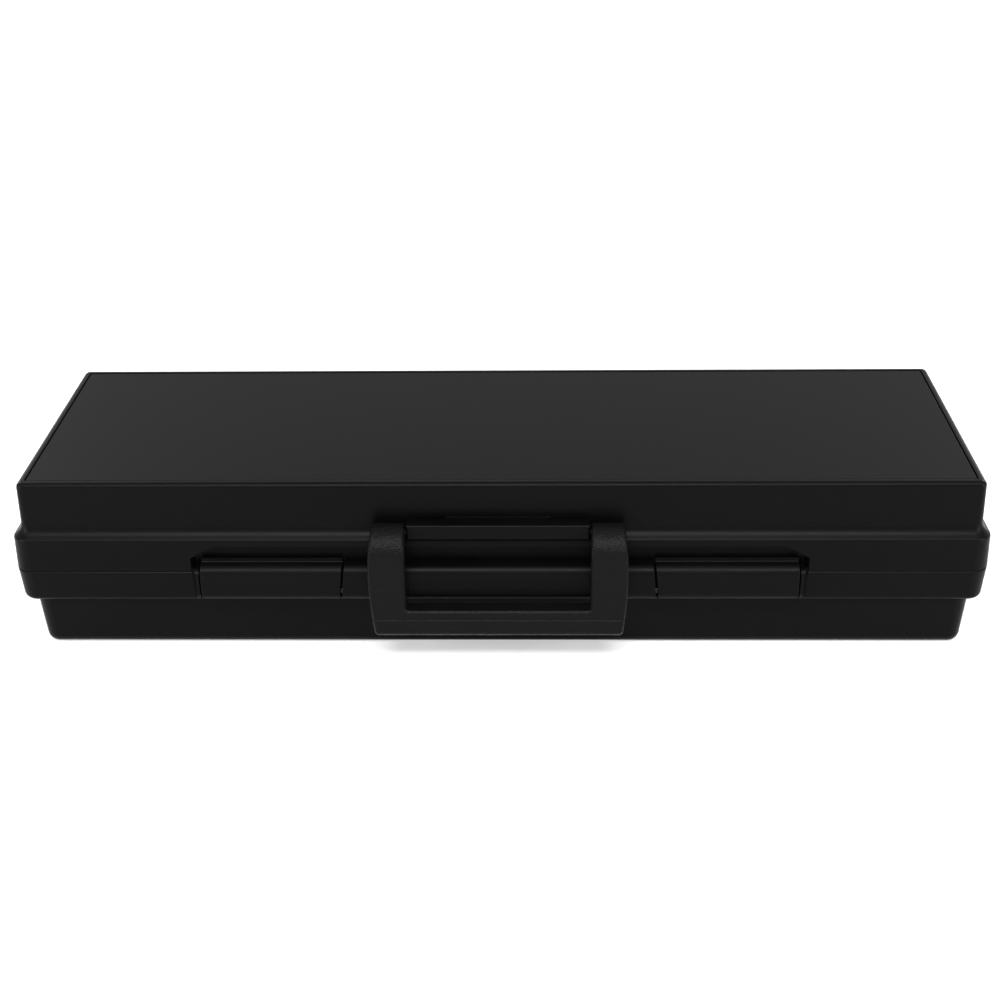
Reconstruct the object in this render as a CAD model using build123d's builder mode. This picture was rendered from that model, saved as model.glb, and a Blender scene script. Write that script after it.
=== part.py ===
"""Component storage box: two hinged shells, a drop handle and two snap latches, in millimetres.

+X is the right end, -Y the front with the handle and the latches, +Z up.
The origin is on the underside, in the middle of the case.
"""
from build123d import *
from math import atan2, degrees, radians, tan
import os

os.makedirs("parts", exist_ok=True)

# Case, measured round the band at the parting line
case_length = 480.0
case_depth = 148.0
case_height = 93.0
parting_z = 47.0
wall = 2.5
lid_draft = 2.0
base_draft = 4.0
band_corner_r = 9.0
parting_chamfer = 0.5

# Lid: band, sloping shoulder and upper wall
band_rise = 17.4
shoulder_rise = 3.7
shoulder_in = 4.4
shoulder_edge_r = 1.5
shoulder_foot_r = 7.0
lid_edge_r = 2.6
lid_deck = 2.2

# Base: band, step and lower wall
step_drop = 17.5
step_in = 4.4
step_edge_r = 3.0
base_corner_r = 8.0
base_edge_r = 5.0
floor_thickness = 3.0

# Tongue on the base's rim and the rebate in the lid that takes it
tongue_width = 1.1
tongue_height = 2.0
tongue_clearance = 0.25

# Panel let into the lid
panel_rim = 3.6
panel_thickness = 1.8
panel_corner_r = 1.6
panel_gap = 0.5
panel_sunk = 0.15
panel_edge = 0.4

# Recess in the front of the band, for the latches
recess_in = 4.5
recess_skin = 2.5
recess_draft = 20.0
# Its right end, top to foot: out from the end of the latch, up from the parting line
recess_outline = ((-7.2, 14.6), (-2.4, 12.4), (5.5, 7.8), (4.6, -6.0), (0.4, -15.4))

# Front profile that the bar and the latches share
front_reach = 5.0
front_rise = 5.0
front_top_r = 5.0
latch_barrel_r = 4.4
latch_axis_drop = 9.8
pin_r = 1.5
running_clearance = 0.05

# Fixed bar between the latches
bar_top_half = 75.6
bar_flare = 1.9
bar_back_gap = 1.5
bar_skin = 2.2
bar_block = 13.0
bar_bays = 6
bar_rib = 1.6

# Latches
latch_margin = 93.4
latch_gap = 0.9
latch_back_gap = 1.7
latch_skin = 2.2
latch_lip_rise = 1.8
latch_lip = 1.2
latch_bays = 5
latch_rib = 1.6
latch_bay_foot = 4.8
latch_bay_head = 3.6
latch_edge = 0.4
latch_root_r = 0.8

# Ears that hold the outer ends of the latch pins
ear_gap = 0.7
ear_width = 3.6
ear_waist = 1.9
ear_nose = 1.4
ear_rise = 3.0
ear_top_r = 4.0
ear_skin = 1.2
ear_set_back = 0.6

# Hook on each latch and the rib on the lid that it reaches over
hook_margin = 11.0
hook_r = 1.1
hook_rise = 4.2
hook_sunk = 0.1
catch_reach = 1.3
catch_rise = 3.8
catch_flat = 0.9

# Handle
handle_axis_out = 0.8
handle_axis_z = 70.1
handle_thickness = 9.0
handle_gap = 0.8
handle_opening_half = 45.0
handle_opening_r = 1.5
handle_top_half = 60.6
handle_waist_half = 62.9
handle_waist_drop = 20.1
handle_foot_half = 60.3
handle_foot_z = 18.6
handle_foot_r = 3.2
handle_edge = 0.9
grip_height = 14.7
grip_step = 9.5
grip_proud = 0.4
grip_bay_half = 43.0
grip_bay_height = 10.0
grip_skin = 3.3
grip_bays = 8
grip_rib = 1.6
trunnion_r = 1.8
trunnion_length = 7.5
trunnion_chamfer = 0.5

# Block on the lid that carries the handle
block_gap = 0.6
block_reach = 3.6
block_top_rise = 4.9
block_foot_drop = 3.1
block_edge_r = 1.0
block_bore_depth = 8.2
block_sunk = 1.0
lug_half = 25.5
gutter_width = 1.9
gutter_depth = 2.6

# Rear hinges
hinge_offset = 3.8
knuckle_r = 3.3
hinge_margin = 90.0
hinge_length = 60.0
hinge_knuckles = 5
knuckle_gap = 0.5
gusset_gap = 0.4
gusset_height = 9.0
pin_inset = 0.3
hinge_bore_clearance = 0.06

# Foam linings
foam_gap = 0.6
base_foam_thickness = 12.0
lid_foam_thickness = 18.0
base_foam_r = 4.0
lid_foam_r = 2.2

# Levels and insets that follow from the sizes above
lid_rim_z = parting_z + parting_chamfer
base_rim_z = parting_z - parting_chamfer
band_top_z = parting_z + band_rise
shoulder_top_z = band_top_z + shoulder_rise
shoulder_draft = degrees(atan2(shoulder_in, shoulder_rise))
ceiling_z = case_height - panel_thickness - lid_deck
lid_band_in = (band_top_z - lid_rim_z) * tan(radians(lid_draft))
lid_foot_in = lid_band_in + shoulder_in
lid_top_in = lid_foot_in + (case_height - shoulder_top_z) * tan(radians(lid_draft))
step_z = parting_z - step_drop
base_step_in = (base_rim_z - step_z) * tan(radians(base_draft))
base_wall_in = base_step_in + step_in
base_ledge_z = step_z + wall
base_floor_in = base_wall_in + wall + (base_ledge_z - floor_thickness) * tan(radians(base_draft))

# Planes and axes of the front
latch_end = case_length / 2 - latch_margin
recess_points = [(latch_end + out, parting_z + up) for out, up in recess_outline]
recess_plane = case_depth / 2 - recess_in
recess_start = case_depth / 2 + 1.0
recess_top_z = parting_z + recess_outline[0][1]
recess_block_half = max(x for x, z in recess_points) + wall
inner_plane = recess_plane - recess_skin
front_plane = case_depth / 2 + front_reach
front_top_z = parting_z + front_rise
latch_axis_y = -(front_plane - latch_barrel_r)
latch_axis_z = parting_z - latch_axis_drop
front_foot_z = latch_axis_z - latch_barrel_r
bar_back_plane = recess_plane + bar_back_gap
bar_foot_half = bar_top_half + bar_flare
bar_slope = bar_flare / (front_top_z - front_foot_z)
latch_start = bar_foot_half + latch_gap
latch_middle = (latch_start + latch_end) / 2
latch_back_plane = recess_plane + latch_back_gap
latch_lip_z = front_top_z + latch_lip_rise
latch_bay_low_z = latch_axis_z + latch_bay_foot
latch_bay_high_z = front_top_z - latch_bay_head
hook_z = parting_z + hook_rise
catch_top_z = parting_z + catch_rise
ear_start = latch_end + ear_gap
ear_front = -front_plane + ear_set_back
ear_top_z = parting_z + ear_rise
latch_bore_start = bar_top_half - bar_block - 1.0
latch_bore_end = ear_start + ear_width - ear_skin

# Planes and axes of the handle, its block and the hinges
handle_axis_y = -(case_depth / 2 + handle_axis_out)
handle_front = front_plane + handle_gap + handle_thickness
handle_back = front_plane + handle_gap
handle_bend_r = handle_front + handle_axis_y
handle_top_z = handle_axis_z + handle_thickness / 2
grip_top_z = handle_foot_z + grip_height
grip_step_z = handle_foot_z + grip_step
block_half = handle_opening_half - block_gap
block_front = case_depth / 2 + block_reach
block_root = case_depth / 2 - lid_foot_in - block_sunk
block_top_z = handle_axis_z + block_top_rise
block_foot_z = handle_axis_z - block_foot_drop
gutter_front = case_depth / 2 - lid_foot_in + gutter_width
hinge_centre = case_length / 2 - hinge_margin
hinge_axis_y = case_depth / 2 + hinge_offset
knuckle_length = (hinge_length - (hinge_knuckles - 1) * knuckle_gap) / hinge_knuckles
rear_root = case_depth / 2 - 1.0


def stacked_blocks(z, inset, radius, steps, mode=Mode.ADD):
    """Adds or cuts rounded blocks in a stack, each with its own height and draft."""
    for height, draft in steps:
        with BuildSketch(Plane.XY.offset(z)) as outline:
            RectangleRounded(case_length - 2 * inset, case_depth - 2 * inset, radius)
        extrude(outline.sketch, amount=height, taper=draft, mode=mode)
        z += height
        inset += abs(height) * tan(radians(draft))
        radius -= abs(height) * tan(radians(draft))


def edges_at(part, z):
    """The edges of a part that lie level at height z."""
    level = part.edges().filter_by(lambda edge: edge.bounding_box().size.Z < 0.01)
    return level.filter_by(lambda edge: abs(edge.center().Z - z) < 0.01)


def side_prism(sketch, start, end, mode=Mode.ADD):
    """Adds or cuts a profile drawn on the YZ plane, between x = start and x = end."""
    low, high = sorted((start, end))
    extrude(sketch.face().moved(Location((low, 0, 0))), amount=high - low, dir=(1, 0, 0), mode=mode)


def side_circle(centre_y, centre_z, radius):
    """A disc on the YZ plane."""
    with BuildSketch(Plane.YZ) as disc:
        with Locations((centre_y, centre_z)):
            Circle(radius)
    return disc.sketch


def side_polygon(points):
    """A straight-sided profile on the YZ plane."""
    with BuildSketch(Plane.YZ) as profile:
        with BuildLine():
            Polyline(*points, close=True)
        make_face()
    return profile.sketch


def rim_outline():
    """The inner outline of both shells at the parting line, stepped in behind the front recess."""
    half_depth = case_depth / 2 - wall
    with BuildSketch(Plane.XY) as outline:
        RectangleRounded(case_length - 2 * wall, 2 * half_depth, band_corner_r - wall)
        with Locations((0, -half_depth)):
            Rectangle(2 * recess_block_half, 2 * (half_depth - inner_plane), mode=Mode.SUBTRACT)
    return outline.sketch


def front_block(low_z, high_z, plane):
    """Thickens the front wall of a shell behind the recess, out to y = -plane."""
    with BuildSketch(Plane.XY.offset(low_z)) as plan:
        with Locations((0, -inner_plane)):
            Rectangle(2 * recess_block_half, plane - inner_plane, align=(Align.CENTER, Align.MAX))
    extrude(plan.sketch, amount=high_z - low_z)


def hinge_row(numbers, side):
    """Knuckles with these numbers at both hinges, braced above (side 1) or below (side -1)."""
    with BuildSketch(Plane.YZ) as profile:
        with BuildLine():
            Polyline(
                (rear_root, parting_z + side * gusset_gap),
                (rear_root, parting_z + side * gusset_height),
                (hinge_axis_y, parting_z + side * knuckle_r),
                (hinge_axis_y, parting_z + side * gusset_gap),
                close=True,
            )
        make_face()
        with Locations((hinge_axis_y, parting_z)):
            Circle(knuckle_r)
    for centre in (-hinge_centre, hinge_centre):
        for number in numbers:
            start = centre - hinge_length / 2 + number * (knuckle_length + knuckle_gap)
            side_prism(profile.sketch, start, start + knuckle_length)


# Recess tool
with BuildPart() as recess:
    with BuildSketch(Plane.XZ.offset(recess_start)):
        with BuildLine():
            Polyline(*recess_points, *[(-x, z) for x, z in reversed(recess_points)], close=True)
        make_face()
    extrude(amount=-(recess_start - recess_plane), taper=recess_draft)

# Fixed bar, its ends drafted like the latches beside it, hollow from below with ribs
with BuildPart() as bar:
    with BuildSketch(Plane.YZ) as bar_profile:
        with BuildLine():
            bar_crown = (-front_plane + front_top_r, front_top_z)
            RadiusArc((-front_plane, front_top_z - front_top_r), bar_crown, front_top_r)
            Polyline(
                bar_crown, (-bar_back_plane, front_top_z), (-bar_back_plane, parting_z),
                (-recess_plane + 1.0, parting_z), (-recess_plane + 1.0, front_foot_z),
                (latch_axis_y, front_foot_z),
            )
            CenterArc((latch_axis_y, latch_axis_z), latch_barrel_r, 180, 90)
            Line((-front_plane, latch_axis_z), (-front_plane, front_top_z - front_top_r))
        make_face()
    side_prism(bar_profile.sketch, -bar_foot_half, bar_foot_half)
    with BuildSketch(Plane.XZ.offset(front_plane)) as bar_face:
        with BuildLine():
            Polyline(
                (-bar_foot_half, front_foot_z), (bar_foot_half, front_foot_z),
                (bar_top_half, front_top_z), (-bar_top_half, front_top_z), close=True,
            )
        make_face()
    extrude(bar_face.sketch, amount=-(front_plane - recess_plane + 1.0), mode=Mode.INTERSECT)
    bar_bay = 2 * (bar_top_half - bar_block) / bar_bays
    with BuildSketch(Plane.XY.offset(front_foot_z - 1)) as bar_hollow:
        with Locations((0, -front_plane + bar_skin)):
            with GridLocations(bar_bay, 1, bar_bays, 1):
                Rectangle(
                    bar_bay - bar_rib, front_plane - bar_skin - recess_plane - 1.5,
                    align=(Align.CENTER, Align.MIN),
                )
    extrude(
        bar_hollow.sketch, amount=front_top_z - bar_skin - front_foot_z + 1, mode=Mode.SUBTRACT
    )

# Ear that holds the outer end of a latch pin, clear of the lid behind its upper part
with BuildPart() as ear:
    with BuildSketch(Plane.XY.offset(front_foot_z)) as ear_plan:
        with BuildLine():
            Polyline(
                (ear_start, -recess_plane + 1.0), (ear_start, ear_front),
                (ear_start + ear_nose, ear_front),
                (ear_start + ear_width, -case_depth / 2 - 0.4),
                (ear_start + ear_waist, -recess_plane - 1.0),
                (ear_start + ear_waist, -recess_plane + 1.0), close=True,
            )
        make_face()
    extrude(ear_plan.sketch, amount=ear_top_z - front_foot_z)
    with BuildSketch(Plane.YZ) as ear_profile:
        with BuildLine():
            ear_crown = (ear_front + ear_top_r, ear_top_z)
            ear_foot_z = front_foot_z + ear_set_back
            RadiusArc((ear_front, ear_top_z - ear_top_r), ear_crown, ear_top_r)
            Polyline(
                ear_crown, (-bar_back_plane, ear_top_z), (-bar_back_plane, parting_z),
                (-recess_plane + 1.0, parting_z), (-recess_plane + 1.0, ear_foot_z),
                (latch_axis_y, ear_foot_z),
            )
            CenterArc((latch_axis_y, latch_axis_z), latch_barrel_r - ear_set_back, 180, 90)
            Line((ear_front, latch_axis_z), (ear_front, ear_top_z - ear_top_r))
        make_face()
    side_prism(ear_profile.sketch, ear_start, ear_start + ear_width, mode=Mode.INTERSECT)

# Base shell
with BuildPart() as base_shell:
    stacked_blocks(base_rim_z, 0, band_corner_r, [(step_z - base_rim_z, base_draft)])
    fillet(edges_at(base_shell, step_z), step_edge_r)
    stacked_blocks(base_rim_z, 0, band_corner_r, [(parting_chamfer, 45)])
    stacked_blocks(step_z, base_wall_in, base_corner_r, [(-step_z, base_draft)])
    fillet(edges_at(base_shell, 0), base_edge_r)

    # Inside, one step wider behind the band
    stacked_blocks(
        base_ledge_z, base_wall_in + wall, base_corner_r - wall,
        [(floor_thickness - base_ledge_z, base_draft)], mode=Mode.SUBTRACT,
    )
    stacked_blocks(
        parting_z, wall, band_corner_r - wall, [(base_ledge_z - parting_z, base_draft)],
        mode=Mode.SUBTRACT,
    )
    front_block(base_ledge_z - 1.0, parting_z, case_depth / 2 - base_step_in - 1.0)
    add(recess, mode=Mode.SUBTRACT)

    # Tongue round the rim
    with BuildSketch(Plane.XY.offset(parting_z)) as tongue:
        add(offset(rim_outline(), tongue_width, mode=Mode.PRIVATE))
        add(rim_outline(), mode=Mode.SUBTRACT)
    extrude(tongue.sketch, amount=tongue_height)

    # Bar and ears, with the bores for the latch pins
    add(bar)
    add(ear)
    mirror(ear.part, about=Plane.YZ)
    for end in (-1, 1):
        latch_bore = side_circle(latch_axis_y, latch_axis_z, pin_r)
        side_prism(latch_bore, end * latch_bore_start, end * latch_bore_end, mode=Mode.SUBTRACT)

    # Rear knuckles, the hinge pins tight in them
    hinge_row((0, 2, 4), -1)
    for end in (-1, 1):
        side_prism(
            side_circle(hinge_axis_y, parting_z, pin_r),
            end * hinge_centre - hinge_length / 2, end * hinge_centre + hinge_length / 2,
            mode=Mode.SUBTRACT,
        )
base_shell.part.label = "base_shell"

# Block that carries the handle, with a gutter behind its outer parts
with BuildPart() as handle_block:
    with BuildSketch(Plane.XY.offset(block_foot_z)) as block_plan:
        with Locations((0, -block_root)):
            Rectangle(2 * block_half, block_front - block_root, align=(Align.CENTER, Align.MAX))
    extrude(block_plan.sketch, amount=block_top_z - block_foot_z)
    fillet(handle_block.faces().sort_by(Axis.Y)[0].edges(), block_edge_r)
    with BuildSketch(Plane.XY.offset(block_top_z)) as gutter:
        for end in (-1, 1):
            with Locations((end * (lug_half + block_half + 1) / 2, -gutter_front)):
                Rectangle(
                    block_half + 1 - lug_half, gutter_front - block_root,
                    align=(Align.CENTER, Align.MIN),
                )
    extrude(gutter.sketch, amount=-gutter_depth, mode=Mode.SUBTRACT)
    for end in (-1, 1):
        side_prism(
            side_circle(handle_axis_y, handle_axis_z, trunnion_r + running_clearance),
            end * (block_half - block_bore_depth), end * block_half, mode=Mode.SUBTRACT,
        )

# Lid shell
with BuildPart() as lid_shell:
    stacked_blocks(lid_rim_z, 0, band_corner_r, [
        (band_top_z - lid_rim_z, lid_draft),
        (shoulder_rise, shoulder_draft),
        (case_height - shoulder_top_z, lid_draft),
    ])
    fillet(edges_at(lid_shell, band_top_z), shoulder_edge_r)
    fillet(edges_at(lid_shell, shoulder_top_z), shoulder_foot_r)
    fillet(edges_at(lid_shell, case_height), lid_edge_r)
    stacked_blocks(lid_rim_z, 0, band_corner_r, [(-parting_chamfer, 45)])
    add(handle_block)

    # Inside, following the band, the shoulder and the upper wall
    stacked_blocks(parting_z, wall, band_corner_r - wall, [
        (band_rise - wall / 2, lid_draft),
        (shoulder_rise, shoulder_draft),
        (ceiling_z - shoulder_top_z + wall / 2, lid_draft),
    ], mode=Mode.SUBTRACT)
    front_block(parting_z, recess_top_z + recess_skin, case_depth / 2 - lid_band_in - wall + 0.8)
    add(recess, mode=Mode.SUBTRACT)

    # Rebate for the base's tongue
    with BuildSketch(Plane.XY.offset(parting_z)) as rebate:
        add(offset(rim_outline(), tongue_width + tongue_clearance, mode=Mode.PRIVATE))
    extrude(rebate.sketch, amount=tongue_height + tongue_clearance, mode=Mode.SUBTRACT)

    # Pocket for the panel
    with BuildSketch(Plane.XY.offset(case_height)) as pocket:
        pocket_in = lid_top_in + panel_rim
        RectangleRounded(case_length - 2 * pocket_in, case_depth - 2 * pocket_in, panel_corner_r)
    extrude(pocket.sketch, amount=-panel_thickness, mode=Mode.SUBTRACT)

    # Ribs that the latches hook over
    catch = side_polygon([
        (-recess_plane + 0.5, catch_top_z), (-recess_plane, catch_top_z),
        (-recess_plane - catch_reach, catch_top_z - catch_reach),
        (-recess_plane - catch_reach, catch_top_z - catch_reach - catch_flat),
        (-recess_plane, catch_top_z - 2 * catch_reach - catch_flat),
        (-recess_plane + 0.5, catch_top_z - 2 * catch_reach - catch_flat),
    ])
    for end in (-1, 1):
        side_prism(catch, end * (latch_start + hook_margin), end * (latch_end - hook_margin))

    # Rear knuckles, running on the hinge pins
    hinge_row((1, 3), 1)
    for end in (-1, 1):
        side_prism(
            side_circle(hinge_axis_y, parting_z, pin_r + hinge_bore_clearance),
            end * hinge_centre - hinge_length / 2, end * hinge_centre + hinge_length / 2,
            mode=Mode.SUBTRACT,
        )
lid_shell.part.label = "lid_shell"

# Panel let into the top of the lid
with BuildPart() as lid_panel:
    with BuildSketch(Plane.XY.offset(case_height - panel_thickness)) as plate:
        plate_in = lid_top_in + panel_rim + panel_gap
        RectangleRounded(
            case_length - 2 * plate_in, case_depth - 2 * plate_in, panel_corner_r - panel_gap
        )
    extrude(plate.sketch, amount=panel_thickness - panel_sunk)
    chamfer(edges_at(lid_panel, case_height - panel_sunk), panel_edge)
lid_panel.part.label = "lid_panel"

# Handle: a bent strap, barrel-shaped from the front, opened above the grip
with BuildPart() as handle:
    bend_z = handle_top_z - handle_bend_r
    with BuildSketch(Plane.YZ) as strap:
        with BuildLine():
            CenterArc((handle_axis_y, handle_axis_z), handle_thickness / 2, -90, 180)
            CenterArc((handle_axis_y, bend_z), handle_bend_r, 90, 90)
            Polyline(
                (-handle_front, bend_z), (-handle_front, grip_step_z + grip_proud),
                (-handle_front - grip_proud, grip_step_z),
                (-handle_front - grip_proud, handle_foot_z + handle_foot_r),
            )
            CenterArc(
                (-handle_front - grip_proud + handle_foot_r, handle_foot_z + handle_foot_r),
                handle_foot_r, 180, 90,
            )
            Line(
                (-handle_front - grip_proud + handle_foot_r, handle_foot_z),
                (-handle_back - handle_foot_r, handle_foot_z),
            )
            CenterArc(
                (-handle_back - handle_foot_r, handle_foot_z + handle_foot_r),
                handle_foot_r, 270, 90,
            )
            Line((-handle_back, handle_foot_z + handle_foot_r), (-handle_back, bend_z))
            CenterArc((handle_axis_y, bend_z), handle_bend_r - handle_thickness, 90, 90)
        make_face()
    side_prism(strap.sketch, -handle_waist_half - 2, handle_waist_half + 2)
    with BuildSketch(Plane.XZ.offset(-handle_axis_y)) as barrel:
        with BuildLine():
            right_side = ThreePointArc(
                (handle_foot_half, handle_foot_z - 1),
                (handle_waist_half, handle_axis_z - handle_waist_drop),
                (handle_top_half, handle_axis_z + handle_thickness),
            )
            left_side = ThreePointArc(
                (-handle_foot_half, handle_foot_z - 1),
                (-handle_waist_half, handle_axis_z - handle_waist_drop),
                (-handle_top_half, handle_axis_z + handle_thickness),
            )
            Line(right_side @ 0, left_side @ 0)
            Line(right_side @ 1, left_side @ 1)
        make_face()
    extrude(barrel.sketch, amount=3 * handle_bend_r, both=True, mode=Mode.INTERSECT)
    with BuildSketch(Plane.XZ.offset(-handle_axis_y)) as opening:
        with Locations((0, grip_top_z)):
            Rectangle(
                2 * handle_opening_half, 2 * (handle_top_z - grip_top_z),
                align=(Align.CENTER, Align.MIN),
            )
        fillet(opening.vertices().group_by(Axis.Y)[0], handle_opening_r)
    extrude(opening.sketch, amount=3 * handle_bend_r, both=True, mode=Mode.SUBTRACT)
    sides = handle.faces().filter_by(lambda face: abs(face.normal_at().X) > 0.9)
    chamfer(sides.filter_by(lambda face: face.area > 100).edges(), handle_edge)

    # Ribbed hollow in the back of the grip
    grip_bay = (2 * grip_bay_half + grip_rib) / grip_bays
    with BuildSketch(Plane.XZ.offset(handle_back)) as hollow:
        with Locations((0, handle_foot_z + grip_height / 2)):
            with GridLocations(grip_bay, 1, grip_bays, 1):
                Rectangle(grip_bay - grip_rib, grip_bay_height)
    extrude(hollow.sketch, amount=handle_thickness - grip_skin, mode=Mode.SUBTRACT)

    # Trunnions, pointing at each other
    for end in (-1, 1):
        with BuildSketch(Plane.YZ.offset(end * (handle_opening_half + 2))) as trunnion:
            with Locations((handle_axis_y, handle_axis_z)):
                Circle(trunnion_r)
        extrude(trunnion.sketch, amount=-end * (trunnion_length + 2))
    upright = handle.faces().filter_by(Axis.X)
    tips = upright.filter_by_position(Axis.Z, handle_axis_z - 0.1, handle_axis_z + 0.1)
    chamfer(tips.edges(), trunnion_chamfer)
handle.part.label = "handle"

# Latch: barrel on the pin, flat front, finger lip, hook bead and a ribbed hollow at the back
with BuildPart() as latch_right:
    with BuildSketch(Plane.YZ) as latch_profile:
        with BuildLine():
            latch_crown = (-front_plane + front_top_r, front_top_z)
            RadiusArc((-front_plane, front_top_z - front_top_r), latch_crown, front_top_r)
            Polyline(
                latch_crown, (-latch_back_plane - latch_lip, front_top_z),
                (-latch_back_plane - latch_lip, latch_lip_z), (-latch_back_plane, latch_lip_z),
                (-latch_back_plane, latch_axis_z), (latch_axis_y, latch_axis_z),
                (-front_plane, latch_axis_z), (-front_plane, front_top_z - front_top_r),
            )
        make_face()
        with Locations((latch_axis_y, latch_axis_z)):
            Circle(latch_barrel_r)
        corners = latch_profile.vertices()
        lip_root = corners.sort_by_distance((-latch_back_plane - latch_lip, front_top_z))[0]
        barrel_root = corners.sort_by_distance((-latch_back_plane, latch_axis_z + 2.8))[0]
        fillet([lip_root, barrel_root], latch_root_r)
    side_prism(latch_profile.sketch, bar_top_half, latch_end)
    with BuildSketch(Plane.XZ.offset(front_plane)) as latch_face:
        with BuildLine():
            Polyline(
                (latch_start, front_foot_z), (latch_end, front_foot_z), (latch_end, latch_lip_z),
                (latch_start - (latch_lip_z - front_foot_z) * bar_slope, latch_lip_z),
                close=True,
            )
        make_face()
    extrude(latch_face.sketch, amount=-(front_plane - recess_plane), mode=Mode.INTERSECT)
    ends = latch_right.faces().filter_by(lambda face: abs(face.normal_at().X) > 0.9)
    chamfer(ends.edges(), latch_edge)
    latch_bay = (latch_end - latch_start - 2 * latch_skin + latch_rib) / latch_bays
    with BuildSketch(Plane.XZ.offset(latch_back_plane)) as latch_hollow:
        with Locations((latch_middle, (latch_bay_low_z + latch_bay_high_z) / 2)):
            with GridLocations(latch_bay, 1, latch_bays, 1):
                Rectangle(latch_bay - latch_rib, latch_bay_high_z - latch_bay_low_z)
    extrude(
        latch_hollow.sketch, amount=front_plane - latch_skin - latch_back_plane,
        mode=Mode.SUBTRACT,
    )
    side_prism(
        side_circle(-latch_back_plane + hook_sunk, hook_z, hook_r),
        latch_start + hook_margin, latch_end - hook_margin,
    )
    side_prism(
        side_circle(latch_axis_y, latch_axis_z, pin_r + running_clearance),
        bar_top_half, latch_end, mode=Mode.SUBTRACT,
    )
latch_right.part.label = "latch_right"
with BuildPart() as latch_left:
    mirror(latch_right.part, about=Plane.YZ)
latch_left.part.label = "latch_left"

# Pins
with BuildPart() as latch_pin_right:
    pin_disc = side_circle(latch_axis_y, latch_axis_z, pin_r)
    side_prism(pin_disc, latch_bore_start + 2.0, latch_bore_end - pin_inset)
    chamfer(latch_pin_right.faces().filter_by(Axis.X).edges(), pin_inset)
latch_pin_right.part.label = "latch_pin_right"
with BuildPart() as latch_pin_left:
    mirror(latch_pin_right.part, about=Plane.YZ)
latch_pin_left.part.label = "latch_pin_left"
with BuildPart() as hinge_pin_right:
    pin_half = hinge_length / 2 - pin_inset
    hinge_disc = side_circle(hinge_axis_y, parting_z, pin_r)
    side_prism(hinge_disc, hinge_centre - pin_half, hinge_centre + pin_half)
    chamfer(hinge_pin_right.faces().filter_by(Axis.X).edges(), pin_inset)
hinge_pin_right.part.label = "hinge_pin_right"
with BuildPart() as hinge_pin_left:
    mirror(hinge_pin_right.part, about=Plane.YZ)
hinge_pin_left.part.label = "hinge_pin_left"

# Foam linings
with BuildPart() as base_foam:
    stacked_blocks(
        floor_thickness, base_floor_in + foam_gap, base_foam_r, [(base_foam_thickness, 0)]
    )
base_foam.part.label = "base_foam"
with BuildPart() as lid_foam:
    stacked_blocks(
        ceiling_z, lid_top_in + wall + foam_gap, lid_foam_r, [(-lid_foam_thickness, 0)]
    )
lid_foam.part.label = "lid_foam"

# Export
for piece in (
    base_shell, lid_shell, lid_panel, handle, latch_right, latch_left, latch_pin_right,
    latch_pin_left, hinge_pin_right, hinge_pin_left, base_foam, lid_foam,
):
    export_step(piece.part, f"parts/{piece.part.label}.step")
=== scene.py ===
"""Looks for the component storage box: camera, light, floor, materials and the foam linings.

Everything is in metres, in the row's frame: +X right, -Y front, +Z up, origin on the underside.
"""
import bpy
import numpy as np
from mathutils import Matrix, Vector


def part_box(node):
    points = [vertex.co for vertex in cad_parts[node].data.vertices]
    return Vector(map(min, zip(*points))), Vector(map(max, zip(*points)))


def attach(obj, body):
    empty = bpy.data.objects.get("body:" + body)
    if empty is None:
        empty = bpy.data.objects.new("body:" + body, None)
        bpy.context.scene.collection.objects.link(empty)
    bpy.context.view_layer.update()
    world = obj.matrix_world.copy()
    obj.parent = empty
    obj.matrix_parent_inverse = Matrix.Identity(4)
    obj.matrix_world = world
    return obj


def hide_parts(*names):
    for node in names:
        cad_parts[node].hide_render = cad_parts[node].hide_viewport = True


MM = 0.001
WHITE = (1.0, 1.0, 1.0, 1.0)


# Camera: the place and the angles that the photograph was taken from

CAMERA_PLACE = (0.01964, -0.72401, 0.44183)
CAMERA_ELEVATION = 28.619
CAMERA_YAW = -1.605
CAMERA_ROLL = -0.868
CAMERA_FOCAL_PIXELS = 1548.1
PICTURE_PIXELS = 1001.0
SENSOR_WIDTH = 36.0


def camera_axes(elevation, yaw, roll):
    """Right, up and backward unit vectors of a camera that looks along +Y, down by elevation,
    turned by yaw and then rolled about its own line of sight."""
    e, w, r = np.radians([elevation, yaw, roll])
    forward = np.array([np.sin(w) * np.cos(e), np.cos(w) * np.cos(e), -np.sin(e)])
    level_right = np.array([np.cos(w), -np.sin(w), 0.0])
    level_up = np.cross(level_right, forward)
    right = level_right * np.cos(r) + level_up * np.sin(r)
    up = level_up * np.cos(r) - level_right * np.sin(r)
    return right, up, -forward


def add_camera():
    """The photograph's camera, as the scene's camera."""
    lens = bpy.data.cameras.new("photo_camera")
    lens.sensor_fit = "HORIZONTAL"
    lens.sensor_width = SENSOR_WIDTH
    lens.lens = CAMERA_FOCAL_PIXELS / PICTURE_PIXELS * SENSOR_WIDTH
    lens.clip_start = 0.01
    lens.clip_end = 20.0
    camera = bpy.data.objects.new("photo_camera", lens)
    turn = Matrix(camera_axes(CAMERA_ELEVATION, CAMERA_YAW, CAMERA_ROLL)).transposed()
    camera.matrix_world = Matrix.Translation(CAMERA_PLACE) @ turn.to_4x4()
    bpy.context.scene.collection.objects.link(camera)
    bpy.context.scene.camera = camera


# Node helpers

def link(tree, source, target):
    """Joins an output socket to an input socket."""
    tree.links.new(source, target)


def feed(tree, value, target):
    """Links value into an input socket if it is a socket, or else sets it there."""
    if hasattr(value, "is_output"):
        link(tree, value, target)
    else:
        target.default_value = value


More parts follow.
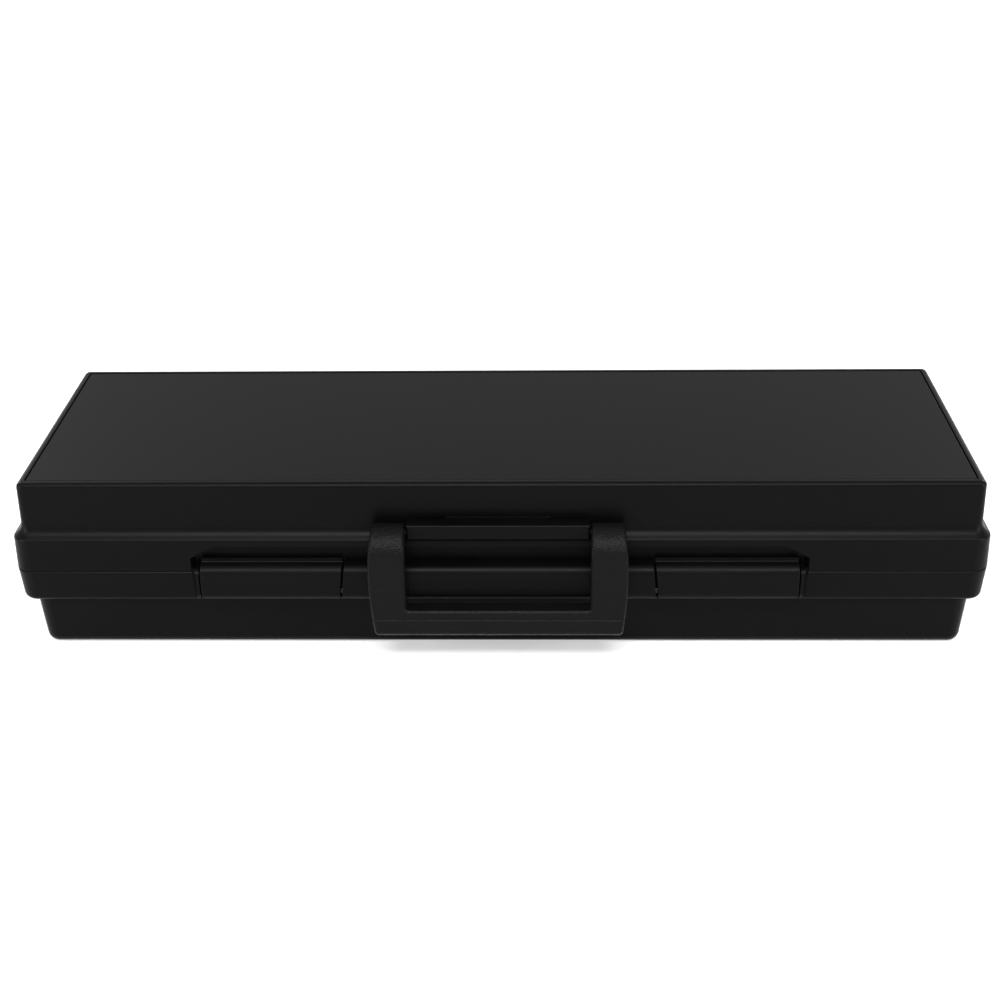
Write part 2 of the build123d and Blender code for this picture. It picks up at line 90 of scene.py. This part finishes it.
def new_group(name, inputs, outputs):
    """An empty shader group with float or colour sockets, given as (name, kind, default)."""
    group = bpy.data.node_groups.new(name, "ShaderNodeTree")
    for label, kind, default in inputs:
        socket = group.interface.new_socket(label, in_out="INPUT", socket_type=kind)
        if default is not None:
            socket.default_value = default
    for label, kind in outputs:
        group.interface.new_socket(label, in_out="OUTPUT", socket_type=kind)
    entry = group.nodes.new("NodeGroupInput")
    leave = group.nodes.new("NodeGroupOutput")
    return group, entry, leave


def calculate(tree, operation, first, second, clamp=False):
    """A Math node on sockets or numbers, as its output socket."""
    node = tree.nodes.new("ShaderNodeMath")
    node.operation = operation
    node.use_clamp = clamp
    feed(tree, first, node.inputs[0])
    feed(tree, second, node.inputs[1])
    return node.outputs[0]


def spread(tree, value, low, high, to_low=0.0, to_high=1.0):
    """Maps value from low..high to to_low..to_high, clamped."""
    node = tree.nodes.new("ShaderNodeMapRange")
    for n, number in enumerate((value, low, high, to_low, to_high)):
        feed(tree, number, node.inputs[n])
    return node.outputs[0]


def noise(tree, position, scale, detail):
    """Noise with scale features to a metre, as a socket from 0 to 1."""
    node = tree.nodes.new("ShaderNodeTexNoise")
    node.inputs["Detail"].default_value = detail
    feed(tree, scale, node.inputs["Scale"])
    link(tree, position, node.inputs["Vector"])
    return node.outputs["Fac"]


def blend(tree, share, first, second):
    """Goes from the first value to the second as share goes from 0 to 1."""
    node = tree.nodes.new("ShaderNodeMix")
    feed(tree, share, node.inputs[0])
    feed(tree, first, node.inputs[2])
    feed(tree, second, node.inputs[3])
    return node.outputs[0]


def blend_colours(tree, share, first, second):
    """Goes from the first colour to the second as share goes from 0 to 1."""
    node = tree.nodes.new("ShaderNodeMix")
    node.data_type = "RGBA"
    feed(tree, (*first, 1.0), node.inputs[6])
    feed(tree, (*second, 1.0), node.inputs[7])
    link(tree, share, node.inputs[0])
    return node.outputs[2]


def new_material(name):
    """A material with its node tree, its shader and the object's own coordinates."""
    material = bpy.data.materials.new(name)
    material.use_nodes = True
    tree = material.node_tree
    place = tree.nodes.new("ShaderNodeTexCoord").outputs["Object"]
    return material, tree, tree.nodes["Principled BSDF"], place


# Shared effects

def build_moulded_grain():
    """Spark-eroded moulding grain: fine pits over slightly larger ones, as a height from 0 to 1."""
    group, entry, leave = new_group(
        "moulded_grain",
        [("Position", "NodeSocketVector", None), ("Fine", "NodeSocketFloat", 900.0),
         ("Coarse", "NodeSocketFloat", 300.0), ("Mix", "NodeSocketFloat", 0.5)],
        [("Height", "NodeSocketFloat")],
    )
    given = entry.outputs
    fine = noise(group, given["Position"], given["Fine"], detail=2.0)
    coarse = noise(group, given["Position"], given["Coarse"], detail=2.0)
    link(group, blend(group, given["Mix"], fine, coarse), leave.inputs["Height"])
    return group


def build_handling():
    """Slight unevenness of a handled surface: broad faint patches, as a mask from 0 to 1."""
    group, entry, leave = new_group(
        "handling",
        [("Position", "NodeSocketVector", None), ("Patch Scale", "NodeSocketFloat", 14.0),
         ("Fleck Scale", "NodeSocketFloat", 160.0), ("Fleck Share", "NodeSocketFloat", 0.25)],
        [("Mask", "NodeSocketFloat")],
    )
    given = entry.outputs
    patches = noise(group, given["Position"], given["Patch Scale"], detail=3.0)
    flecks = noise(group, given["Position"], given["Fleck Scale"], detail=1.0)
    link(group, blend(group, given["Fleck Share"], patches, flecks), leave.inputs["Mask"])
    return group


def build_edge_rub():
    """Edges that hands and tables rub: where the rounded normal leans away from the face's own,
    broken up by the handling patches, as a mask from 0 to 1."""
    group, entry, leave = new_group(
        "edge_rub",
        [("Rounded", "NodeSocketVector", None), ("Patches", "NodeSocketFloat", 0.5)],
        [("Mask", "NodeSocketFloat")],
    )
    own = group.nodes.new("ShaderNodeNewGeometry")
    lean = group.nodes.new("ShaderNodeVectorMath")
    lean.operation = "DOT_PRODUCT"
    link(group, entry.outputs["Rounded"], lean.inputs[0])
    link(group, own.outputs["Normal"], lean.inputs[1])
    turned = spread(group, lean.outputs["Value"], low=0.99, high=0.85)
    patches = entry.outputs["Patches"]
    broken = spread(group, patches, low=0.40, high=0.60, to_low=0.35, to_high=1.0)
    link(group, calculate(group, "MULTIPLY", turned, broken), leave.inputs["Mask"])
    return group


def place_group(tree, group, **values):
    """A node for the group, with its named inputs set or linked."""
    node = tree.nodes.new("ShaderNodeGroup")
    node.node_tree = group
    for label, value in values.items():
        feed(tree, value, node.inputs[label])
    return node


# Materials

# Plastic: how much smoother and how many times paler a rubbed edge is, and how far a handled
# patch goes towards that tone.
BEVEL_SAMPLES = 6
EDGE_POLISH = 0.10
EDGE_PALER = 1.6
PATCH_SHARE = 0.4

# Foam: a cloud's width and a pore's depth are in pores; the painted light on the cell tops and the
# painted shade in the pores are times the foam's colour.
CLOUD_PORES = 30
CLOUD_SHARE = 0.6
PORE_DEPTH = 0.4
CELL_TOP_LIT_PALER = 1.3
PORE_SHADE_DARKER = 0.6
FOAM_SPECULAR = 0.15


def plastic(name, colour, roughness, grain, grain_height, edge_radius, specular, uneven=0.05):
    """Moulded plastic: grain in the normal, uneven gloss, edges polished and paler by handling.

    grain is (fine features to a metre, coarse ones to a metre, share of the coarse ones).
    """
    material, tree, shader, place = new_material(name)
    fine, coarse, share = grain
    mould = place_group(tree, GRAIN, Position=place, Fine=fine, Coarse=coarse, Mix=share)
    touch = place_group(tree, HANDLING, Position=place)
    rounded = tree.nodes.new("ShaderNodeBevel")
    rounded.samples = BEVEL_SAMPLES
    rounded.inputs["Radius"].default_value = edge_radius
    rub = place_group(tree, EDGE_RUB, Rounded=rounded.outputs[0], Patches=touch.outputs["Mask"])
    mask = spread(tree, touch.outputs["Mask"], low=0.35, high=0.65)
    least, most = roughness - uneven, roughness + uneven
    rough = spread(tree, mask, low=0.0, high=1.0, to_low=least, to_high=most)
    polished = calculate(tree, "MULTIPLY", rub.outputs["Mask"], EDGE_POLISH)
    link(tree, calculate(tree, "SUBTRACT", rough, polished), shader.inputs["Roughness"])
    patches = calculate(tree, "MULTIPLY", mask, PATCH_SHARE)
    paler = calculate(tree, "MAXIMUM", patches, rub.outputs["Mask"])
    shade = blend_colours(tree, paler, colour, [c * EDGE_PALER for c in colour])
    link(tree, shade, shader.inputs["Base Color"])
    shader.inputs["Specular IOR Level"].default_value = specular
    bump = tree.nodes.new("ShaderNodeBump")
    bump.inputs["Distance"].default_value = grain_height
    link(tree, mould.outputs["Height"], bump.inputs["Height"])
    link(tree, rounded.outputs[0], bump.inputs["Normal"])
    link(tree, bump.outputs[0], shader.inputs["Normal"])
    return material


def steel(name):
    """Blackened steel pin: fine lines round it, worn a little brighter in places."""
    material, tree, shader, place = new_material(name)
    along, across = 4000.0, 60.0
    stretch = tree.nodes.new("ShaderNodeMapping")
    stretch.inputs["Scale"].default_value = (along, across, across)
    link(tree, place, stretch.inputs["Vector"])
    lines = noise(tree, stretch.outputs[0], 1.0, detail=3.0)
    rough = spread(tree, lines, low=0.3, high=0.7, to_low=0.34, to_high=0.50)
    link(tree, rough, shader.inputs["Roughness"])
    blackened, worn = (0.030, 0.030, 0.032), (0.060, 0.058, 0.056)
    link(tree, blend_colours(tree, lines, blackened, worn), shader.inputs["Base Color"])
    shader.inputs["Metallic"].default_value = 1.0
    return material


def foam_material(name, colour, pore):
    """Open-cell foam: pores in the normal, painted shade darkening each pore and painted light
    paling the cell tops, fully matt.
    """
    material, tree, shader, place = new_material(name)
    cells = tree.nodes.new("ShaderNodeTexVoronoi")
    cells.inputs["Scale"].default_value = 1.0 / pore
    link(tree, place, cells.inputs["Vector"])
    depth = spread(tree, cells.outputs["Distance"], low=0.05, high=0.5)
    cloud = noise(tree, place, 1.0 / (CLOUD_PORES * pore), detail=3.0)
    height = calculate(tree, "ADD", depth, calculate(tree, "MULTIPLY", cloud, CLOUD_SHARE))
    # Painted light and shade: the colour goes from a paler tone on the cell tops to a darker one
    # deep in the pores, with some random cloud tone mixed in.
    tone = spread(tree, height, low=0.2, high=1.5)
    lit_cell_tops, shaded_pores = [c * CELL_TOP_LIT_PALER for c in colour], [c * PORE_SHADE_DARKER for c in colour]
    link(tree, blend_colours(tree, tone, lit_cell_tops, shaded_pores), shader.inputs["Base Color"])
    rough = spread(tree, cloud, low=0.3, high=0.7, to_low=0.88, to_high=0.98)
    link(tree, rough, shader.inputs["Roughness"])
    shader.inputs["Specular IOR Level"].default_value = FOAM_SPECULAR
    bump = tree.nodes.new("ShaderNodeBump")
    bump.invert = True
    bump.inputs["Distance"].default_value = PORE_DEPTH * pore
    link(tree, height, bump.inputs["Height"])
    link(tree, bump.outputs[0], shader.inputs["Normal"])
    return material


# Foam linings

# The two cut patterns, then the spacing of a lining's grid: between cut lines, the least that
# is kept, and the number of places over a rounded rim.
EGG_PITCH = 22 * MM
EGG_DEPTH = 9 * MM
SQUARE_PITCH = 25 * MM
CUT_DEPTH = 1.3 * MM
CUT_WIDTH = 0.7 * MM
EVEN_STEP = 2.2 * MM
LEAST_STEP = 0.2 * MM
RIM_STEPS = 9


def mesh_piece(name, points, faces, material, smooth):
    """A mesh object from a point array and a list of faces, in the row's frame."""
    mesh = bpy.data.meshes.new(name)
    mesh.from_pydata(points.tolist(), [], faces)
    mesh.validate()
    mesh.materials.append(material)
    mesh.polygons.foreach_set("use_smooth", np.full(len(mesh.polygons), smooth))
    piece = bpy.data.objects.new(name, mesh)
    bpy.context.scene.collection.objects.link(piece)
    return piece


def stations(half, pitch, edge):
    """Grid places from -half to half: close together within edge of both ends and beside every
    cut line, at whole pitches from the middle, and evenly spread between them."""
    rim = np.linspace(0.0, edge, RIM_STEPS)
    lines = np.arange(-np.floor(half / pitch), np.floor(half / pitch) + 1) * pitch
    beside = np.array([-2.0, -1.0, -0.5, 0.0, 0.5, 1.0, 2.0]) * MM
    even = np.linspace(-half, half, int(2 * half / EVEN_STEP))
    cuts = (lines[:, None] + beside[None, :]).ravel()
    inner = np.concatenate([cuts, even])
    inner = inner[np.abs(inner) < half - edge]
    places = np.sort(np.concatenate([inner, rim - half, half - rim]))
    return places[np.concatenate([[True], np.diff(places) > LEAST_STEP])]


def rounded_corners(flat_x, flat_y, half, corner):
    """Draws the square at each corner of a grid in to a quarter disc of radius corner: a point
    (u, v) of the square moves to (u, v) max(u, v) / hypot(u, v)."""
    out_x = np.maximum(np.abs(flat_x) - (half[0] - corner), 0.0)
    out_y = np.maximum(np.abs(flat_y) - (half[1] - corner), 0.0)
    reach = np.maximum(out_x, out_y) / np.maximum(np.hypot(out_x, out_y), 1e-9)
    in_corner = (out_x > 0) & (out_y > 0)
    reach = np.where(in_corner, reach, 1.0)
    x = np.where(in_corner, np.sign(flat_x) * (half[0] - corner + out_x * reach), flat_x)
    y = np.where(in_corner, np.sign(flat_y) * (half[1] - corner + out_y * reach), flat_y)
    return x, y


def slab_faces(index):
    """Quads of a slab: the grid of its face, the flat side's grid the other way round, whose
    points follow the face's, and a skirt between the two."""
    quads = np.stack([index[:-1, :-1], index[1:, :-1], index[1:, 1:], index[:-1, 1:]], axis=-1)
    quads = quads.reshape(-1, 4)
    ring = np.concatenate([index[:, 0], index[-1, 1:], index[-2::-1, -1], index[0, -2:0:-1]])
    after = np.roll(ring, -1)
    skirt = np.stack([ring, ring + index.size, after + index.size, after], axis=-1)
    return np.concatenate([quads, quads[:, ::-1] + index.size, skirt])


def foam_slab(name, node, face_height, pitch, side, edge, corner, material, body):
    """A foam lining that fills a CAD slab's box.

    One side (side 1 up, -1 down) lies face_height of (x, y) inside the slab's face, and near the
    rim it falls by edge - sqrt(edge^2 - (edge - distance to the rim)^2), a quarter circle.
    """
    low, high = (np.array(limit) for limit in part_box(node))
    half = (high - low) / 2
    middle = (high + low) / 2
    flat_x, flat_y = np.meshgrid(
        stations(half[0], pitch, edge), stations(half[1], pitch, edge), indexing="ij",
    )
    x, y = rounded_corners(flat_x, flat_y, half, corner)
    rim = np.minimum(half[0] - np.abs(flat_x), half[1] - np.abs(flat_y))
    fall = edge - np.sqrt(np.maximum(edge ** 2 - np.maximum(edge - rim, 0.0) ** 2, 0.0))
    depth = np.maximum(face_height(x, y), fall)
    face = high[2] - depth if side > 0 else low[2] + depth
    flat = np.full_like(face, low[2] if side > 0 else high[2])
    x, y = x + middle[0], y + middle[1]
    points = np.concatenate([
        np.stack([x, y, z], axis=-1).reshape(-1, 3) for z in (face, flat)
    ])
    faces = slab_faces(np.arange(x.size).reshape(x.shape))
    if side < 0:
        faces = faces[:, ::-1]
    piece = mesh_piece(name, points, faces.tolist(), material, smooth=True)
    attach(piece, body)
    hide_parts(node)


def wave_cut(x, y):
    """Egg-crate foam: depth (1 - cos(2 pi x / pitch) cos(2 pi y / pitch)) / 2 times EGG_DEPTH."""
    wave = np.cos(2 * np.pi * x / EGG_PITCH) * np.cos(2 * np.pi * y / EGG_PITCH)
    return EGG_DEPTH * (1 - wave) / 2


def square_cut(x, y):
    """Foam cut into squares that can be picked out: at distance d from the nearest cut line the
    face dips by CUT_DEPTH exp(-(d / CUT_WIDTH)^2)."""
    dips = []
    for along in (x, y):
        away = np.abs((along / SQUARE_PITCH + 0.5) % 1.0 - 0.5) * SQUARE_PITCH
        dips.append(np.exp(-((away / CUT_WIDTH) ** 2)))
    return CUT_DEPTH * np.maximum(*dips)


# Floor and light

# The floor's half width and height, its colour for light, and what is added where it is seen:
# FLOOR_SHOWN up to FADE_FROM metres from the middle, rising to 1 at FADE_TO.
FLOOR_HALF = 6.0
FLOOR_LEVEL = -0.1 * MM
FLOOR_COLOUR = 0.8
FLOOR_SHOWN = 0.42
FADE_FROM = 0.3
FADE_TO = 0.8
SKY_STRENGTH = 0.14
MIDDLE = (0.0, 0.0, 0.05)
WING_SIZE = (0.5, 0.7)
SIDE_SIZE = (0.3, 0.5)

# name, place, aim, size and power in watts
LAMPS = (
    ("key_softbox", (0.0, -0.97, 1.34), MIDDLE, (1.4, 0.4), 29.0),
    ("side_left", (-0.80, -0.50, 0.30), (-0.20, 0.0, 0.05), SIDE_SIZE, 4.0),
    ("side_right", (0.80, -0.50, 0.30), (0.20, 0.0, 0.05), SIDE_SIZE, 4.0),
    ("back_wing_left", (-1.10, 0.95, 0.75), MIDDLE, WING_SIZE, 8.0),
    ("back_wing_right", (1.10, 0.95, 0.75), MIDDLE, WING_SIZE, 8.0),
)


def seen_rays(tree):
    """1 for rays from the camera, a reflection or a transmission, 0 for diffuse light."""
    ray = tree.nodes.new("ShaderNodeLightPath")
    kinds = [ray.outputs[f"Is {kind} Ray"] for kind in ("Camera", "Glossy", "Transmission")]
    mirrored = calculate(tree, "ADD", kinds[1], kinds[2])
    return calculate(tree, "ADD", kinds[0], mirrored, clamp=True)


def white_ground():
    """Floor material: a plain pale surface for light, raised to white where it is seen.

    Near the object it is raised by FLOOR_SHOWN, which leaves the shadow; beyond FADE_TO, where
    the lamps no longer reach, by 1.
    """
    material, tree, shader, place = new_material("white_ground")
    shader.inputs["Base Color"].default_value = (FLOOR_COLOUR, FLOOR_COLOUR, FLOOR_COLOUR, 1.0)
    shader.inputs["Roughness"].default_value = 0.9
    shader.inputs["Specular IOR Level"].default_value = 0.0
    away = tree.nodes.new("ShaderNodeVectorMath")
    away.operation = "LENGTH"
    link(tree, place, away.inputs[0])
    glow = tree.nodes.new("ShaderNodeEmission")
    shown = spread(tree, away.outputs["Value"], FADE_FROM, FADE_TO, FLOOR_SHOWN, 1.0)
    link(tree, shown, glow.inputs["Strength"])
    both = tree.nodes.new("ShaderNodeAddShader")
    mix = tree.nodes.new("ShaderNodeMixShader")
    link(tree, shader.outputs[0], both.inputs[0])
    link(tree, glow.outputs[0], both.inputs[1])
    link(tree, seen_rays(tree), mix.inputs[0])
    link(tree, shader.outputs[0], mix.inputs[1])
    link(tree, both.outputs[0], mix.inputs[2])
    link(tree, mix.outputs[0], tree.nodes["Material Output"].inputs["Surface"])
    return material


def add_floor():
    """A plain pale floor under the whole view, a hair below the underside so that the two
    never share a plane."""
    turns = [(-1, -1), (1, -1), (1, 1), (-1, 1)]
    points = np.array([(x * FLOOR_HALF, y * FLOOR_HALF, FLOOR_LEVEL) for x, y in turns])
    floor = mesh_piece("floor", points, [(0, 1, 2, 3)], white_ground(), smooth=False)


def add_lamp(name, place, aim, size, power):
    """A soft rectangular lamp at place, facing aim."""
    light = bpy.data.lights.new(name, "AREA")
    light.shape = "RECTANGLE"
    light.size, light.size_y = size
    light.energy = power
    lamp = bpy.data.objects.new(name, light)
    turn = (Vector(place) - Vector(aim)).to_track_quat("Z", "Y")
    lamp.matrix_world = Matrix.Translation(place) @ turn.to_matrix().to_4x4()
    bpy.context.scene.collection.objects.link(lamp)


def add_world():
    """An even pale sky for light, white to the camera."""
    world = bpy.data.worlds.new("studio")
    bpy.context.scene.world = world
    world.use_nodes = True
    tree = world.node_tree
    sky = tree.nodes["Background"]
    sky.inputs["Color"].default_value = WHITE
    sky.inputs["Strength"].default_value = SKY_STRENGTH
    white = tree.nodes.new("ShaderNodeBackground")
    white.inputs["Color"].default_value = WHITE
    mix = tree.nodes.new("ShaderNodeMixShader")
    link(tree, seen_rays(tree), mix.inputs[0])
    link(tree, sky.outputs[0], mix.inputs[1])
    link(tree, white.outputs[0], mix.inputs[2])
    link(tree, mix.outputs[0], tree.nodes["World Output"].inputs["Surface"])


# The scene

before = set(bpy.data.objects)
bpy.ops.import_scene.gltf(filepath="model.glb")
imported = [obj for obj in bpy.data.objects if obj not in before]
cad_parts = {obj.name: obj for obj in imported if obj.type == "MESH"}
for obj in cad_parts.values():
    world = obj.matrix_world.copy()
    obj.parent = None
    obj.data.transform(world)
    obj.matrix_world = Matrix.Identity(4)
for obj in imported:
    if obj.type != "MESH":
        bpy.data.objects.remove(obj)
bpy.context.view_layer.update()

GRAIN = build_moulded_grain()
HANDLING = build_handling()
EDGE_RUB = build_edge_rub()

SHELL_GRAIN = (2600.0, 700.0, 0.4)
case_plastic = plastic(
    "case_plastic", (0.0015, 0.0015, 0.0016), roughness=0.37, grain=SHELL_GRAIN,
    grain_height=0.03 * MM, edge_radius=0.4 * MM, specular=0.060,
)
panel_plastic = plastic(
    "panel_plastic", (0.0040, 0.0040, 0.0043), roughness=0.46, grain=(3200.0, 1400.0, 0.3),
    grain_height=0.02 * MM, edge_radius=0.3 * MM, specular=0.05, uneven=0.015,
)
handle_plastic = plastic(
    "handle_plastic", (0.0030, 0.0030, 0.0032), roughness=0.36, grain=(1300.0, 650.0, 0.6),
    grain_height=0.45 * MM, edge_radius=0.4 * MM, specular=0.075,
)
latch_plastic = plastic(
    "latch_plastic", (0.0018, 0.0018, 0.0020), roughness=0.38, grain=SHELL_GRAIN,
    grain_height=0.03 * MM, edge_radius=0.4 * MM, specular=0.060,
)
pin_steel = steel("pin_steel")
lining = foam_material("lining_foam", (0.030, 0.030, 0.033), pore=0.9 * MM)

finishes = {
    "base_shell": case_plastic, "lid_shell": case_plastic, "lid_panel": panel_plastic,
    "handle": handle_plastic, "latch_left": latch_plastic, "latch_right": latch_plastic,
    "latch_pin_left": pin_steel, "latch_pin_right": pin_steel,
    "hinge_pin_left": pin_steel, "hinge_pin_right": pin_steel,
}
for node, finish in finishes.items():
    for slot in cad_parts[node].material_slots:
        slot.material = finish

foam_slab(
    "lid_egg_crate", "lid_foam", wave_cut, EGG_PITCH, side=-1, edge=3 * MM, corner=2.2 * MM,
    material=lining, body="lid",
)
foam_slab(
    "base_pad", "base_foam", square_cut, SQUARE_PITCH, side=1, edge=2 * MM, corner=4.0 * MM,
    material=lining, body="base",
)

add_camera()
add_floor()
for lamp in LAMPS:
    add_lamp(*lamp)
add_world()

bpy.context.scene.view_settings.view_transform = "Standard"
